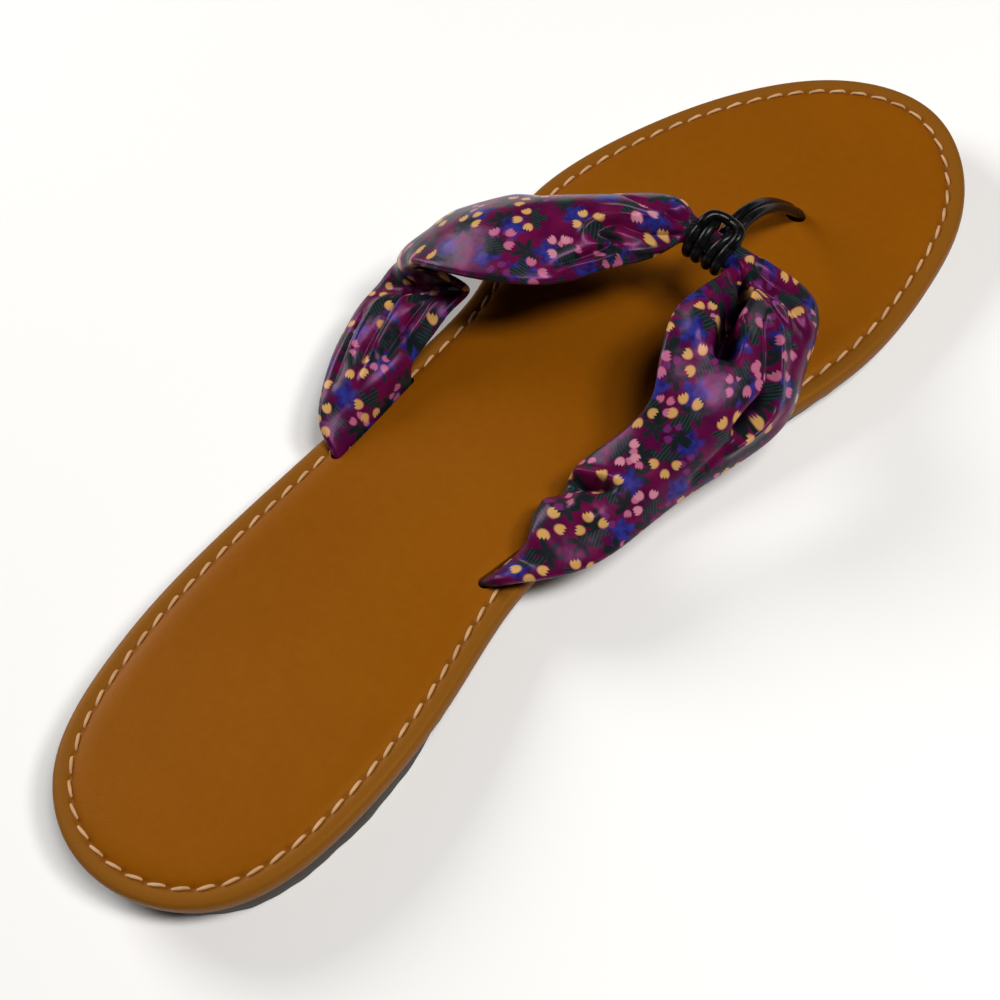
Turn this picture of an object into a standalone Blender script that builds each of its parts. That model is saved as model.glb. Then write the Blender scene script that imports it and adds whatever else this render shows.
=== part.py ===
"""Flat thong sandal, left foot: a moulded outsole, a padded leather footbed, a satin scarf
for the upper, and a doubled round cord that rises from a hole between the toes and is
hitched round the gathered scarf.

Everything is drawn in the sole's frame in millimetres: x runs towards the big-toe side,
y from the back of the heel towards the toes, z up from the ground. The finished parts are
then moved so that the origin is at the middle of the whole shoe's box, on the ground.
"""
import math

import bpy
import numpy as np
from mathutils import Vector

MM = 0.001
GAP = 0.3                 # air between neighbouring pieces

# ---- sole -------------------------------------------------------------------------------
SOLE_LENGTH = 245.8
FOREPART_THICKNESS = 4.5  # outsole under the ball
HEEL_THICKNESS = 9.0      # outsole under the heel
ARCH_RISE = 2.0           # hollow under the waist
TOE_SPRING = 3.0          # lift of the toe end
HEEL_BREAST_Y = 58.0      # where the flat of the heel ends
HEEL_BREAST_LENGTH = 8.0
BALL_Y = 128.0            # where the flat of the forepart starts
SPRING_Y = 196.0          # where the flat of the forepart ends
TOP_BLEND_Y = (36.0, 108.0)
OUTSOLE_INSET = 2.0       # outsole wall stands in from the footbed's edge
EDGE_RADIUS = 1.0

FOOTBED_THICKNESS = 3.8
STITCH_INSET = 3.8        # seam, measured in from the edge
PADDING_INSET = 6.5       # where the foam reaches its full height
PADDING_RISE = 0.6
STATIONS = 40             # cross lines from heel to toe

# Outline of the footbed, anticlockwise from the back of the heel, seen from above.
OUTLINE_COLUMNS = ("place", "x", "y")
OUTLINE = (
    ("heel end",            -2.0,   0.0),
    ("heel, inner back",    20.0,   9.0),
    ("heel, inner side",    29.4,  31.0),
    ("waist, inner rear",   26.2,  68.0),
    ("waist, inner",        19.0,  97.0),
    ("waist, inner front",  21.2, 125.0),
    ("ball, inner rear",    29.5, 154.0),
    ("ball, inner",         35.9, 184.0),
    ("big toe, side",       34.2, 208.0),
    ("big toe, front",      28.1, 228.0),
    ("big toe, corner",     16.0, 241.3),
    ("toe end",              1.8, 245.8),
    ("second toe",         -15.7, 240.5),
    ("third toe",          -31.0, 226.3),
    ("fourth toe",         -43.2, 204.5),
    ("little toe",         -50.2, 175.0),
    ("ball, outer",        -46.4, 157.0),
    ("waist, outer front", -40.9, 143.0),
    ("waist, outer",       -39.2, 112.0),
    ("heel, outer front",  -36.8,  64.0),
    ("heel, outer side",   -32.0,  31.0),
    ("heel, outer back",   -22.0,   8.5),
)

# ---- toe cord ---------------------------------------------------------------------------
# One length of round cord, doubled. Its two ends rise side by side from the hole as the toe
# post, pass under the gathered scarf, go round it on either side, and the loop that is left
# between them closes over the post.
CORD_DIAMETER = 2.2
CORD_PITCH = 2.32         # between neighbouring strands
POST_HOLE = (0.6, 204.4)
CORD_SIDES = 8
# Line midway between the two strands of the post; height is above the footbed at the ball.
POST_COLUMNS = ("x", "y", "height")
POST_ROUTE = (
    (0.6, 204.6, -3.4),
    (0.6, 204.4, 1.2),
    (1.1, 199.6, 8.2),
    (1.5, 194.8, 13.8),
    (1.9, 190.0, 17.8),
    (2.2, 185.8, 19.8),
    (2.3, 182.2, 20.0),
    (2.3, 179.6, 19.2),
)
KNOT_CENTRE = (2.5, 174.9, 20.8)   # middle of the gathered scarf, height above the footbed
WRAP_RADII = (4.15, 3.25)          # middle of the cord, along and across the gather
WRAP_TILT = math.radians(41.0)     # the gather's long side leans towards the toes
WRAP_FROM, WRAP_TO = -85.0, -660.0 # degrees, from the toe side down and round the heel side
WRAP_STEP = 23.0
KNOT_LEAN = 0.20          # the turns lean towards the big toe as they rise
# Half of the loop over the post, as offsets from the middle of the knot.
LOOP_COLUMNS = ("place", "x", "y", "z")
LOOP = (
    ("top",      5.0, 1.4, 4.5),
    ("shoulder", 4.1, 3.6, 5.0),
    ("front",    2.2, 5.2, 4.5),
    ("middle",   0.0, 5.7, 4.0),
)

# ---- scarf ------------------------------------------------------------------------------
SCARF_WALL = 2.0          # folded satin
SLIT_WIDTH = SCARF_WALL + 2 * GAP + 0.4
SLIT_CLEARANCE = SCARF_WALL / 2 + GAP + 0.2
ACROSS = 9                # points across the scarf
STEPS = 4                 # stations between two rows of the table
# One row for each section of the scarf, from the slit on the big-toe side over the knot to
# the slit on the little-toe side. The heel-side and toe-side edges are given with their
# heights above the footbed under the ball; crown is how far the middle stands out, and
# wall is the thickness of the folded cloth there.
SCARF_COLUMNS = ("section", "hx", "hy", "hz", "tx", "ty", "tz", "crown", "wall")
SCARF = (
    ("inner slit, foot",    15.2, 116.5, -3.0,  12.6,  93.5, -3.0, 0.0, 1.6),
    ("inner slit, lip",     15.2, 116.5,  0.7,  12.6,  93.5,  0.7, 0.0, 1.6),
    ("inner border",        13.8, 118.2,  5.0,  17.8,  96.6,  4.6, 1.2, 2.0),
    ("inner waist",         13.0, 122.5,  9.0,  26.6, 110.0,  4.8, 3.4, 2.0),
    ("inner side",          16.8, 133.2, 14.0,  30.4, 131.4,  4.8, 4.5, 2.0),
    ("inner ball",          18.1, 140.2, 20.0,  35.0, 155.4,  6.0, 6.0, 2.0),
    ("inner fore",          14.2, 147.5, 23.0,  30.5, 169.5,  8.6, 6.4, 2.0),
    ("inner gather",         9.4, 157.1, 23.2,  23.5, 180.8, 11.8, 5.2, 2.0),
    ("inner throat",        10.6, 167.0, 22.8,  14.6, 178.0, 20.0, 1.4, 2.2),
    ("inner neck",           8.8, 173.8, 19.9,   8.8, 176.0, 21.7, 0.2, 2.4),
    ("outer neck",          -3.8, 173.8, 19.9,  -3.8, 176.0, 21.7, 0.2, 2.4),
    ("outer throat",        -6.6, 164.4, 20.8,  -8.8, 176.8, 23.2, 2.2, 2.2),
    ("outer gather",       -10.2, 156.4, 22.8, -17.4, 174.2, 20.6, 6.0, 2.0),
    ("outer fore",         -14.6, 146.6, 24.2, -29.4, 168.0, 13.4, 9.2, 2.0),
    ("outer ball",         -23.2, 137.8, 26.8, -42.0, 159.0,  8.0, 9.2, 2.0),
    ("outer side",         -36.6, 133.4, 23.0, -50.8, 145.1,  5.6, 6.7, 2.0),
    ("outer lobe",         -44.4, 132.6, 18.6, -53.2, 135.4,  8.6, 2.4, 1.4),
    ("outer tuck",         -38.2, 135.4, 11.8, -54.1, 128.0,  5.2, 0.5, 1.8),
    ("outer waist",        -35.6, 130.0, 10.0, -52.6, 119.6,  5.0, 3.4, 2.0),
    ("outer border",       -35.5, 121.4,  6.6, -48.4, 108.6,  4.8, 3.0, 2.0),
    ("outer base",         -35.2, 118.4,  4.8, -40.0,  97.4,  4.8, 1.5, 2.0),
    ("outer slit, lip",    -35.0, 117.0,  0.7, -33.0,  94.0,  0.7, 0.0, 1.6),
    ("outer slit, foot",   -35.0, 117.0, -3.0, -33.0,  94.0, -3.0, 0.0, 1.6),
)

COLOURS = {
    # slot: (colour, roughness)
    "outsole": ((0.030, 0.018, 0.012), 0.65),
    "footbed": ((0.270, 0.090, 0.012), 0.45),
    "scarf": ((0.110, 0.008, 0.060), 0.35),
    "cord": ((0.004, 0.004, 0.005), 0.30),
}


def clear_scene():
    for old in list(bpy.data.objects):
        bpy.data.objects.remove(old, do_unlink=True)


def material(slot):
    colour, roughness = COLOURS[slot]
    made = bpy.data.materials.new(slot)
    made.use_nodes = True
    shader = made.node_tree.nodes["Principled BSDF"]
    shader.inputs["Base Color"].default_value = (*colour, 1.0)
    shader.inputs["Roughness"].default_value = roughness
    shader.inputs["Metallic"].default_value = 0.0
    return made


def add_object(name, vertices, faces, slot):
    """A mesh object from millimetre vertices, with its faces turned outwards."""
    mesh = bpy.data.meshes.new(name)
    mesh.from_pydata([Vector(v) * MM for v in vertices], [], faces)
    mesh.validate()
    mesh.materials.append(material(slot))
    mesh.shade_smooth()
    mesh.set_sharp_from_angle(angle=math.radians(40))
    made = bpy.data.objects.new(name, mesh)
    bpy.context.scene.collection.objects.link(made)
    return made


def column(rows, columns, *names):
    """The named columns of a table, as an array with a row for each of its rows."""
    return np.array([[row[columns.index(name)] for name in names] for row in rows], float)


def smoothstep(value, low, high):
    t = np.clip((np.asarray(value, float) - low) / (high - low), 0.0, 1.0)
    return t * t * (3.0 - 2.0 * t)


# ---- curves -----------------------------------------------------------------------------
def closed_spline(points, steps):
    """Points along a closed natural cubic through the given points."""
    count = len(points)
    spans = np.linalg.norm(np.roll(points, -1, 0) - points, axis=1) ** 0.5
    matrix = np.zeros((count, count))
    right = np.zeros((count, points.shape[1]))
    for i in range(count):
        before, after = spans[i - 1], spans[i]
        nxt = (i + 1) % count
        matrix[i, i - 1] += before
        matrix[i, i] += 2 * (before + after)
        matrix[i, nxt] += after
        right[i] = 6 * ((points[nxt] - points[i]) / after - (points[i] - points[i - 1]) / before)
    bend = np.linalg.solve(matrix, right)
    made = []
    for i in range(count):
        nxt = (i + 1) % count
        span = spans[i]
        for k in range(steps):
            t = k / steps * span
            u = span - t
            made.append(bend[i] * u ** 3 / (6 * span) + bend[nxt] * t ** 3 / (6 * span)
                        + (points[i] / span - bend[i] * span / 6) * u
                        + (points[nxt] / span - bend[nxt] * span / 6) * t)
    return np.array(made)


def open_curve(rows, steps):
    """Rows joined by a Catmull-Rom curve, with steps stations between neighbours."""
    rows = np.asarray(rows, float)
    padded = np.vstack([2 * rows[0] - rows[1], rows, 2 * rows[-1] - rows[-2]])
    made = []
    for i in range(1, len(padded) - 2):
        a, b, c, d = padded[i - 1:i + 3]
        for k in range(steps):
            t = k / steps
            made.append(0.5 * (2 * b + (c - a) * t + (2 * a - 5 * b + 4 * c - d) * t ** 2
                               + (3 * b - 3 * c + d - a) * t ** 3))
    made.append(rows[-1])
    return np.array(made)


# ---- sole -------------------------------------------------------------------------------
def ground_height(y):
    """Underside of the outsole: flat heel, hollow waist, flat forepart, toe spring."""
    rise = smoothstep(y, HEEL_BREAST_Y, HEEL_BREAST_Y + HEEL_BREAST_LENGTH)
    fall = 1.0 - smoothstep(y, HEEL_BREAST_Y + HEEL_BREAST_LENGTH, BALL_Y)
    past = np.clip((np.asarray(y, float) - SPRING_Y) / (SOLE_LENGTH - SPRING_Y), 0.0, 1.0)
    return ARCH_RISE * np.minimum(rise, fall) + TOE_SPRING * past ** 2


def outsole_top(y):
    """Upper face of the outsole, which falls from the heel to the forepart."""
    past = np.clip((np.asarray(y, float) - SPRING_Y) / (SOLE_LENGTH - SPRING_Y), 0.0, 1.0)
    drop = (HEEL_THICKNESS - FOREPART_THICKNESS) * smoothstep(y, *TOP_BLEND_Y)
    return HEEL_THICKNESS - drop + TOE_SPRING * past ** 2


def footbed_underside(y):
    return outsole_top(y) + GAP


FOREPART_TOP = FOREPART_THICKNESS + GAP + FOOTBED_THICKNESS


def paired_outline():
    """The outline as a ring whose point k and point n - k lie on the same cross line."""
    dense = closed_spline(column(OUTLINE, OUTLINE_COLUMNS, "x", "y"), 24)
    heel, toe = int(dense[:, 1].argmin()), int(dense[:, 1].argmax())
    inner = dense[heel:toe + 1]
    outer = np.vstack([dense[toe:], dense[:heel + 1]])[::-1]
    low, high = dense[heel, 1], dense[toe, 1]
    stations = low + (high - low) * (1 - np.cos(np.linspace(0.0, math.pi, STATIONS + 1))) / 2
    inner_x = np.interp(stations, inner[:, 1], inner[:, 0])
    outer_x = np.interp(stations, outer[:, 1], outer[:, 0])
    forward = np.column_stack([inner_x, stations])
    back = np.column_stack([outer_x, stations])[::-1][1:-1]
    return np.vstack([forward, back])


def inset_ring(ring, inset):
    """The ring moved inwards by inset, square to its own direction."""
    along = np.roll(ring, -1, 0) - np.roll(ring, 1, 0)
    along /= np.linalg.norm(along, axis=1)[:, None]
    return ring + inset * np.column_stack([-along[:, 1], along[:, 0]])


def plate(name, layers, slot):
    """A closed plate through layers of (inset, height function), from the bottom up."""
    ring = paired_outline()
    count = len(ring)
    vertices = []
    for inset, height in layers:
        flat = inset_ring(ring, inset)
        vertices += [(x, y, float(height(y))) for x, y in flat]
    faces = []
    for layer in range(len(layers) - 1):
        low = layer * count
        for i in range(count):
            j = (i + 1) % count
            faces.append((low + i, low + j, low + count + j, low + count + i))
    top = (len(layers) - 1) * count
    for i in range(STATIONS):
        left, left_next = (count - i) % count, (count - i - 1) % count
        ordered = list(dict.fromkeys((i, i + 1, left_next, left)))
        faces.append(tuple(top + v for v in ordered))
        faces.append(tuple(reversed(ordered)))
    return add_object(name, vertices, faces, slot)


def make_outsole():
    lift = EDGE_RADIUS * 0.35
    return plate("outsole", (
        (OUTSOLE_INSET + EDGE_RADIUS, ground_height),
        (OUTSOLE_INSET + lift, lambda y: ground_height(y) + lift),
        (OUTSOLE_INSET, lambda y: ground_height(y) + EDGE_RADIUS),
        (OUTSOLE_INSET, outsole_top),
    ), "outsole")


def make_footbed():
    def top(y):
        return footbed_underside(y) + FOOTBED_THICKNESS

    lift = EDGE_RADIUS * 0.35
    return plate("footbed", (
        (0.5, footbed_underside),
        (0.0, lambda y: footbed_underside(y) + 0.7),
        (0.0, lambda y: top(y) - EDGE_RADIUS),
        (lift, lambda y: top(y) - lift),
        (EDGE_RADIUS, top),
        (STITCH_INSET, top),
        (PADDING_INSET, lambda y: top(y) + PADDING_RISE),
    ), "footbed")


# ---- tubes ------------------------------------------------------------------------------
def sweep(name, centres, profile, slot):
    """A profile of (sideways, up) pairs carried along centres, and closed at both ends."""
    tangents = np.gradient(centres, axis=0)
    tangents /= np.linalg.norm(tangents, axis=1)[:, None]
    side = np.array([1.0, 0.0, 0.0])
    vertices = []
    for centre, tangent in zip(centres, tangents):
        side = side - tangent * side.dot(tangent)
        side /= np.linalg.norm(side)
        up = np.cross(side, tangent)
        vertices += [tuple(centre + side * u + up * v) for u, v in profile]
    count = len(profile)
    faces = []
    for ring in range(len(centres) - 1):
        low = ring * count
        for i in range(count):
            j = (i + 1) % count
            faces.append((low + i, low + j, low + count + j, low + count + i))
    last = (len(centres) - 1) * count
    faces.append(tuple(reversed(range(count))))
    faces.append(tuple(last + i for i in range(count)))
    return turn_outwards(add_object(name, vertices, faces, slot))


def turn_outwards(made):
    """Flip every face of a closed body whose signed volume is negative."""
    volume = 0.0
    mesh = made.data
    for face in mesh.polygons:
        corners = [mesh.vertices[i].co for i in face.vertices]
        for i in range(1, len(corners) - 1):
            volume += corners[0].dot(corners[i].cross(corners[i + 1]))
    if volume < 0:
        mesh.flip_normals()
    return made


def round_profile(radius, sides):
    turns = [2 * math.pi * k / sides for k in range(sides)]
    return [(radius * math.cos(a), radius * math.sin(a)) for a in turns]


def about_knot(offsets):
    """Offsets from the middle of the knot as points of the sole's frame, leaned over."""
    leaned = offsets.copy()
    leaned[:, 0] += KNOT_LEAN * offsets[:, 2]
    return leaned + np.array(KNOT_CENTRE)


def strand(side):
    """One strand, from the hole to the end of its turns; side is 1 or -1 across the knot."""
    route = column(POST_ROUTE, POST_COLUMNS, "x", "y", "height")
    route += np.array([side * CORD_PITCH / 2, 0.0, 0.0])
    long_way = np.array([0.0, math.cos(WRAP_TILT), math.sin(WRAP_TILT)])
    short_way = np.array([0.0, -math.sin(WRAP_TILT), math.cos(WRAP_TILT)])
    turns = []
    for angle in np.arange(WRAP_FROM, WRAP_TO - 1.0, -WRAP_STEP):
        out = CORD_PITCH * (0.5 + (WRAP_FROM - angle) / 360.0)
        turns.append(np.array([side * out, 0.0, 0.0])
                     + long_way * WRAP_RADII[0] * math.cos(math.radians(angle))
                     + short_way * WRAP_RADII[1] * math.sin(math.radians(angle)))
    turns = about_knot(np.array(turns))
    post = open_curve(np.vstack([route, turns[0]]), 4)
    return np.vstack([post, turns[1:]])


def make_cord():
    """The doubled cord: post, turns round the scarf, and the loop over the post, in one."""
    inner, outer = strand(1.0), strand(-1.0)
    half = column(LOOP, LOOP_COLUMNS, "x", "y", "z")
    whole = np.vstack([half, half[-2::-1] * np.array([-1.0, 1.0, 1.0])])
    loop = open_curve(np.vstack([inner[-1], about_knot(whole), outer[-1]]), 2)
    route = np.vstack([inner, loop[1:-1], outer[::-1]])
    route += np.array([0.0, 0.0, FOREPART_TOP])
    return sweep("toe_cord", route, round_profile(CORD_DIAMETER / 2, CORD_SIDES), "cord")


# ---- scarf ------------------------------------------------------------------------------
def scarf_grid():
    """Middle surface of the scarf, a row of points for each station, and its wall there."""
    names = SCARF_COLUMNS[1:]
    stations = open_curve(column(SCARF, SCARF_COLUMNS, *names), STEPS)
    heel_edge, toe_edge = stations[:, 0:3], stations[:, 3:6]
    crown, wall = stations[:, 6], stations[:, 7]
    middle = (heel_edge + toe_edge) / 2
    along = np.gradient(middle, axis=0)
    chord = toe_edge - heel_edge
    out = np.cross(chord, along)
    out /= np.linalg.norm(out, axis=1)[:, None]
    share = (1 - np.cos(np.linspace(0, math.pi, ACROSS))) / 2
    grid = np.empty((len(stations), ACROSS, 3))
    for j, s in enumerate(share):
        bulge = crown * 4 * s * (1 - s)
        grid[:, j] = heel_edge + chord * s + out * bulge[:, None]
    grid[:, :, 2] += FOREPART_TOP
    return grid, wall


def make_scarf():
    """The scarf as one hollow-backed band, its wall laid half to each side of the grid."""
    grid, wall = scarf_grid()
    along = np.gradient(grid, axis=0)
    chord = np.gradient(grid, axis=1)
    normal = np.cross(chord, along)
    normal /= np.linalg.norm(normal, axis=2)[:, :, None]
    rows, across, _ = grid.shape
    half = wall[:, None, None] / 2
    outer, inner = grid + normal * half, grid - normal * half
    toe_bead = grid[:, -1] + chord[:, -1] / np.linalg.norm(chord[:, -1], axis=1)[:, None] * half[:, 0]
    heel_bead = grid[:, 0] - chord[:, 0] / np.linalg.norm(chord[:, 0], axis=1)[:, None] * half[:, 0]
    vertices = []
    for i in range(rows):
        loop = list(outer[i]) + [toe_bead[i]] + list(inner[i][::-1]) + [heel_bead[i]]
        vertices += [tuple(p) for p in loop]
    count = 2 * across + 2
    faces = []
    for i in range(rows - 1):
        low = i * count
        for k in range(count):
            n = (k + 1) % count
            faces.append((low + k, low + n, low + count + n, low + count + k))
    faces.append(tuple(reversed(range(count))))
    last = (rows - 1) * count
    faces.append(tuple(last + k for k in range(count)))
    return turn_outwards(add_object("scarf_strap", vertices, faces, "scarf"))


# ---- holes ------------------------------------------------------------------------------
def box_cutter(name, start, end, width, low, high):
    """A straight slot from start to end, seen from above, as a cutter."""
    start, end = np.array(start, float), np.array(end, float)
    along = (end - start) / np.linalg.norm(end - start)
    side = np.array([-along[1], along[0]]) * width / 2
    start, end = start - along * SLIT_CLEARANCE, end + along * SLIT_CLEARANCE
    corners = (start + side, start - side, end - side, end + side)
    vertices = [(x, y, z) for z in (low, high) for x, y in corners]
    faces = [(0, 1, 2, 3), (7, 6, 5, 4), (0, 4, 5, 1), (1, 5, 6, 2), (2, 6, 7, 3), (3, 7, 4, 0)]
    return as_cutter(turn_outwards(add_object(name, vertices, faces, "footbed")))


def hole_cutter(name, centre, half_long, half_short, low, high):
    """An oval hole for the doubled cord, its long way across the foot."""
    sides = 20
    turns = [2 * math.pi * k / sides for k in range(sides)]
    ring = [(centre[0] + half_long * math.cos(a), centre[1] + half_short * math.sin(a))
            for a in turns]
    vertices = [(x, y, z) for z in (low, high) for x, y in ring]
    faces = [tuple(reversed(range(sides))), tuple(sides + i for i in range(sides))]
    faces += [(i, (i + 1) % sides, sides + (i + 1) % sides, sides + i) for i in range(sides)]
    return as_cutter(turn_outwards(add_object(name, vertices, faces, "footbed")))


def as_cutter(made):
    made.hide_render = True
    made.display_type = "WIRE"
    return made


def cut(target, cutter):
    boolean = target.modifiers.new(cutter.name, "BOOLEAN")
    boolean.operation = "DIFFERENCE"
    boolean.solver = "EXACT"
    boolean.object = cutter


def cut_footbed(footbed):
    low, high = 0.0, FOREPART_TOP + 8.0
    slit_rows = [row for row in SCARF if row[0].endswith("slit, lip")]
    for row in slit_rows:
        heel_side, toe_side = row[1:3], row[4:6]
        name = row[0].split(" ")[0] + "_slit_cutter"
        cut(footbed, box_cutter(name, heel_side, toe_side, SLIT_WIDTH, low, high))
    half_long = CORD_PITCH / 2 + CORD_DIAMETER / 2 + GAP
    half_short = CORD_DIAMETER / 2 + GAP + 0.6
    cut(footbed, hole_cutter("post_hole_cutter", POST_HOLE, half_long, half_short, low, high))


def centre_on_footprint(made):
    """Move every mesh so that the shoe's box is centred over the origin, on the ground."""
    corners = np.array([v.co[:] for part in made for v in part.data.vertices])
    low, high = corners.min(axis=0), corners.max(axis=0)
    shift = Vector((-(low[0] + high[0]) / 2, -(low[1] + high[1]) / 2, -low[2]))
    for part in bpy.data.objects:
        for vertex in part.data.vertices:
            vertex.co += shift


def main():
    clear_scene()
    parts = [make_outsole(), make_footbed(), make_scarf(), make_cord()]
    cut_footbed(parts[1])
    centre_on_footprint(parts)


main()
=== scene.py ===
import math

import bpy
import numpy as np
from mathutils import Matrix, Vector
from numpy.linalg import norm


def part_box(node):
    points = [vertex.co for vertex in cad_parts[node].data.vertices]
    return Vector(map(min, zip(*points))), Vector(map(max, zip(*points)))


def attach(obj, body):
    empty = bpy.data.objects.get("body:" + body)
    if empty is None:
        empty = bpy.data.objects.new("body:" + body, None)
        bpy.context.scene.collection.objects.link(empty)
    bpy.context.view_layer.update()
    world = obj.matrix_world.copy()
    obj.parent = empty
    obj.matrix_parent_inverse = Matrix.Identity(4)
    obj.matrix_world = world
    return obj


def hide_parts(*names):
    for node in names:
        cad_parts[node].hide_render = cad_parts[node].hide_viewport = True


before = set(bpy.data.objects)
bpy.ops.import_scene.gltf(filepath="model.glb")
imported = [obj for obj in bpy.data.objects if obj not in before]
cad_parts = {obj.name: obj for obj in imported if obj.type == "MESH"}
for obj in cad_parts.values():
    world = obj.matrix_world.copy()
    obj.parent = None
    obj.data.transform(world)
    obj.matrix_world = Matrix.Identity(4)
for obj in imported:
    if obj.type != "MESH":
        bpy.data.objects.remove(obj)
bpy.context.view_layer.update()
scene = bpy.context.scene

# ---- camera ----------
# Looks down from beside the heel on the big-toe side, rolled so that the toes point to the
# upper right, and takes in the whole shoe.
EYE = Vector((0.1513, -0.1036, 0.3027))
AIM = Vector((0.0106, -0.0136, 0.0086))
UP = Vector((-0.581, 0.669, 0.464))
LENS, SENSOR_WIDTH, CLIP_START = 58.6, 36, 0.01


def in_scene(name, data):
    """A new object with this data, linked to the scene."""
    made = bpy.data.objects.new(name, data)
    scene.collection.objects.link(made)
    return made


forward = (AIM - EYE).normalized()
sideways = forward.cross(UP).normalized()
camera = in_scene("camera", bpy.data.cameras.new("camera"))
camera.matrix_world = (Matrix.Translation(EYE)
                       @ Matrix((sideways, sideways.cross(forward), -forward)).transposed().to_4x4())
camera.data.lens = LENS
camera.data.sensor_width = SENSOR_WIDTH
camera.data.clip_start = CLIP_START
scene.camera = camera

# ---- floor and lights ----------
# A plain pale floor, two fairly crisp lights high on the big-toe side, a larger, softer one
# low on the little-toe side, and a little light all round.
FLOOR_COLOUR, FLOOR_ROUGHNESS, FLOOR_HALF = (0.90, 0.90, 0.90), 0.9, 3.0
LAMP_DISTANCE = 1.0
LAMPS = (                 # name, direction, size, power, colour
    ("key", (0.62, 0.28, 1.0), 0.20, 4.6, (1.0, 0.98, 0.95)),
    ("second", (0.40, 0.08, 1.0), 0.25, 4.3, (1.0, 0.98, 0.95)),
    ("little-toe side", (-1.8, -0.25, 1.0), 0.55, 7.0, (1.0, 0.99, 0.97)),
)
SURROUND = (0.035, 0.035, 0.037)

floor_mesh = bpy.data.meshes.new("floor")
corners = ((-1, -1), (1, -1), (1, 1), (-1, 1))
floor_mesh.from_pydata([(FLOOR_HALF * x, FLOOR_HALF * y, 0) for x, y in corners], [], [(0, 1, 2, 3)])
floor = in_scene("floor", floor_mesh)
floor_finish = bpy.data.materials.new("floor")
floor_finish.use_nodes = True
floor_sockets = floor_finish.node_tree.nodes["Principled BSDF"].inputs
floor_sockets["Base Color"].default_value = (*FLOOR_COLOUR, 1)
floor_sockets["Roughness"].default_value = FLOOR_ROUGHNESS
floor_mesh.materials.append(floor_finish)

for name, towards, size, power, colour in LAMPS:
    lamp = in_scene(name, bpy.data.lights.new(name, "AREA"))
    lamp.location = Vector(towards).normalized() * LAMP_DISTANCE
    lamp.rotation_euler = Vector(towards).to_track_quat("Z", "Y").to_euler()
    lamp.data.shape, lamp.data.size = "DISK", size
    lamp.data.energy, lamp.data.color = power, colour

world = bpy.data.worlds.new("surround")
world.use_nodes = True
world.node_tree.nodes["Background"].inputs["Color"].default_value = (*SURROUND, 1)
scene.world = world
scene.view_settings.view_transform = "Standard"

# ---- outsole ----------
# Moulded dark brown rubber with a low heel and a ribbed tread, cemented under the footbed
# and trimmed by hand, a little inside the footbed's edge.
SOLE_LENGTH = 245.8       # sizes of the shoe are in millimetres
HEEL_THICKNESS, FOREPART_THICKNESS = 9.0, 4.5
ARCH_RISE, TOE_SPRING = 2.0, 3.0
HEEL_BREAST_Y = (58.0, 66.0)
BALL_Y, SPRING_Y = 128.0, 196.0
TOP_BLEND_Y = (36.0, 108.0)
OUTLINE_STEPS, EDGE_POINTS = 60, 1000    # between the outline's points, and round the sole
OUTSOLE_WALL = (          # inset from the footbed's edge, share of the way up, rise
    (3.3, 0.0, 0.0), (2.6, 0.0, 0.08), (2.2, 0.0, 0.32), (2.02, 0.0, 0.75), (1.98, 0.35, 0.3),
    (2.02, 0.7, 0.1), (2.0, 1.0, -0.25), (2.12, 1.0, 0.1), (2.6, 1.0, 0.24),
)
OUTSOLE_LINES, TREAD_LINES = 8, 40       # points across the sole, above and below
TRIM_WAVES = ((0.10, 23, 1.0), (0.08, 41, 2.2), (0.05, 97, 0.0))   # depth, number round the sole, start
TREAD_PITCH, TREAD_DEPTH, TREAD_WAVE, TREAD_WAVE_PITCH = 4.2, 0.7, 1.3, 17.0
TREAD_BORDER, RIB_SIDE = (5.0, 6.2), (0.62, 0.84)
TREADLESS_WAIST = (55.0, 58.0), (108.0, 112.0)
RUBBER, RUBBER_WORN = (0.034, 0.023, 0.016), (0.062, 0.046, 0.034)
# Outline of the footbed, anticlockwise from the back of the heel, seen from above: x runs
# towards the big toe and y towards the toes.
OUTLINE = (               # place, x, y
    ("heel end", -2, 0),
    ("heel, inner back", 20, 9),
    ("heel, inner side", 29.4, 31),
    ("waist, inner rear", 26.2, 68),
    ("waist, inner", 19, 97),
    ("waist, inner front", 21.2, 125),
    ("ball, inner rear", 29.5, 154),
    ("ball, inner", 35.9, 184),
    ("big toe, side", 34.2, 208),
    ("big toe, front", 28.1, 228),
    ("big toe, corner", 16, 241.3),
    ("toe end", 1.8, 245.8),
    ("second toe", -15.7, 240.5),
    ("third toe", -31, 226.3),
    ("fourth toe", -43.2, 204.5),
    ("little toe", -50.2, 175),
    ("ball, outer", -46.4, 157),
    ("waist, outer front", -40.9, 143),
    ("waist, outer", -39.2, 112),
    ("heel, outer front", -36.8, 64),
    ("heel, outer side", -32, 31),
    ("heel, outer back", -22, 8.5),
)


def smoothstep(value, low, high):
    t = np.clip((np.asarray(value, float) - low) / (high - low), 0.0, 1.0)
    return t * t * (3.0 - 2.0 * t)


def within(value, rise, fall):
    """1 between the rise and the fall and 0 outside them, with smooth steps."""
    return smoothstep(value, *rise) * (1 - smoothstep(value, *fall))


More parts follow.
